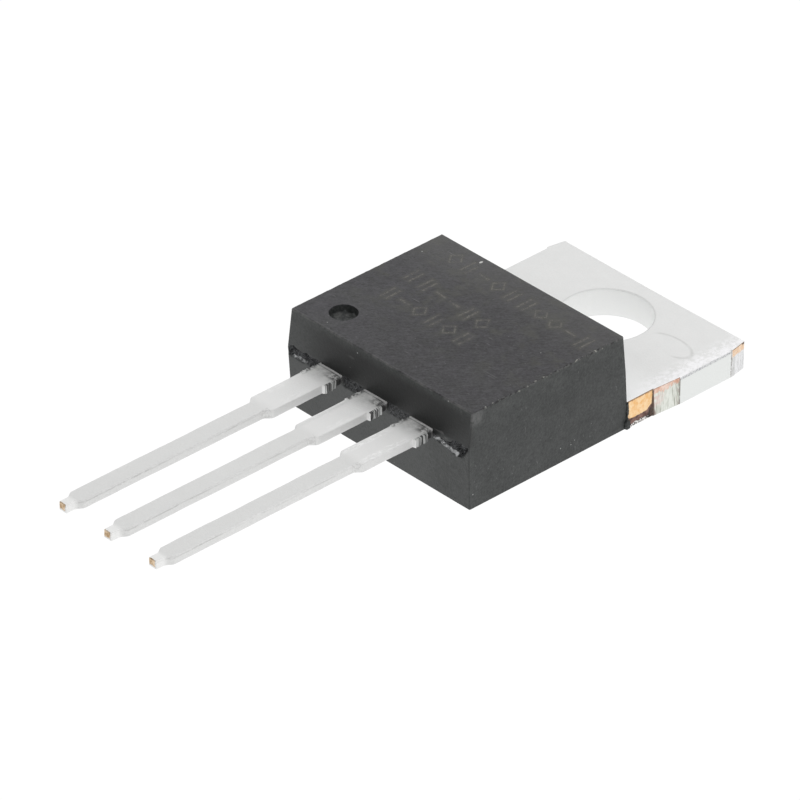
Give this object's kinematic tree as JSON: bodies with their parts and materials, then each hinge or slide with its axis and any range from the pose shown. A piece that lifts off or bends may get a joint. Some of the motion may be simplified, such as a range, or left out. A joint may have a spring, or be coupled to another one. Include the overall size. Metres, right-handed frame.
{
  "type": "voltage regulator",
  "caption": "Linear voltage regulator in a flat moulded power package with a drilled metal tab and a row of straight leads.",
  "frame": {"origin": "centre of the mounting hole, on the mounting face", "axes": "+Z along the hole from the mounting face up through the case, +Y towards the tab's free end with the leads towards -Y, +X to the right seen from above with the leads towards the viewer"},
  "size_m": [0.0104, 0.0287, 0.0044],
  "materials": {
    "moulding_compound": "fine spark-eroded mould texture, dull charcoal",
    "tinned_copper": "matte tin plating over copper, bare copper where it was sheared",
    "silicon": "polished",
    "solder": "dull",
    "bond_aluminium": "drawn wire"
  },
  "bodies": {
    "root": {"moulded_case": "moulding_compound", "tab_and_ground_lead": "tinned_copper", "input_lead": "tinned_copper", "output_lead": "tinned_copper", "silicon_die": "silicon", "die_attach_solder": "solder", "input_bond_wire": "bond_aluminium", "output_bond_wire": "bond_aluminium", "output_sense_bond_wire": "bond_aluminium", "ground_bond_wire": "bond_aluminium"}
  },
  "joints": []
}
